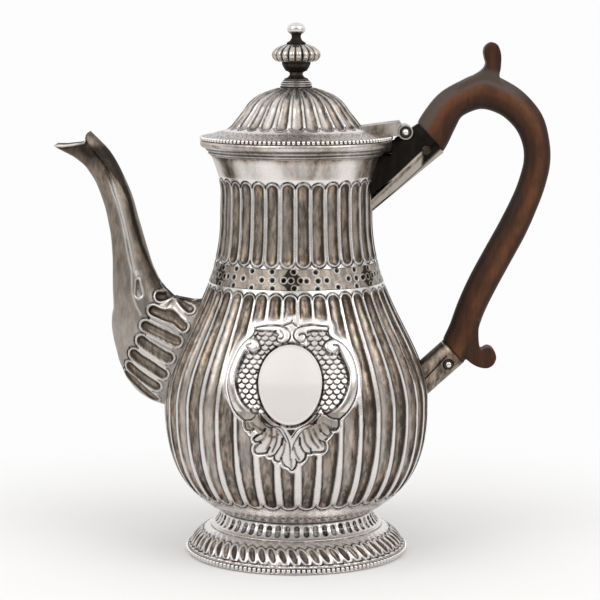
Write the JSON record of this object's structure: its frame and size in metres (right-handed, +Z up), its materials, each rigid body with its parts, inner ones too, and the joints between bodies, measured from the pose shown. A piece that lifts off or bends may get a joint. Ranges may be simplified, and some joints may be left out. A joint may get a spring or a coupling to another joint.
{
  "type": "coffee pot",
  "caption": "Baluster coffee pot of chased sheet silver on a spreading foot, with a cast curved spout, a hinged domed lid with a lobed finial, and a pinned wooden scroll handle.",
  "frame": {"origin": "centre of the face that the foot rests on, on the axis of the round body", "axes": "+Z up along the body's axis, +X towards the handle, -X towards the spout"},
  "size_m": [0.2509, 0.1348, 0.27],
  "materials": {
    "chased_silver": "polished ridges with dark tarnish left in the chasing",
    "polished_silver": "polished, lightly worn",
    "plain_silver": "plain, slightly dull inside surfaces",
    "bead_wire": "polished beads with dark gaps",
    "spout_silver": "polished casting with greyish tarnish",
    "socket_silver": "polished, faceted",
    "hinge_silver": "polished, worn",
    "pin_silver": "polished heads with dark edges",
    "finial_silver": "polished with dark recesses",
    "handle_wood": "waxed dark brown fruitwood"
  },
  "bodies": {
    "pot": {"body": "chased_silver", "mouth_moulding": "polished_silver", "foot": "chased_silver", "foot_rim": "polished_silver", "foot_bead_wire": "bead_wire", "spout_near_half": "spout_silver", "spout_far_half": "spout_silver", "upper_handle_socket": "socket_silver", "lower_handle_socket": "socket_silver", "handle": "handle_wood", "upper_handle_pin": "pin_silver", "lower_handle_pin": "pin_silver", "near_hinge_knuckle": "hinge_silver", "far_hinge_knuckle": "hinge_silver", "hinge_pin": "pin_silver"},
    "lid_group": {"lid": "chased_silver", "lid_bead_wire": "bead_wire", "lid_bezel": "plain_silver", "lid_hinge_leaf": "hinge_silver", "lid_hinge_knuckle": "hinge_silver", "finial_base": "finial_silver", "finial_knop": "finial_silver", "finial_bud": "finial_silver", "finial_stud": "plain_silver", "finial_nut": "plain_silver"}
  },
  "joints": [
    {"name": "lid_hinge", "type": "hinge", "parent": "pot", "child": "lid_group", "pos_m": [0.0548, 0, 0.2153], "axis": [0, 1, 0], "range_deg": [0, 82]}
  ]
}
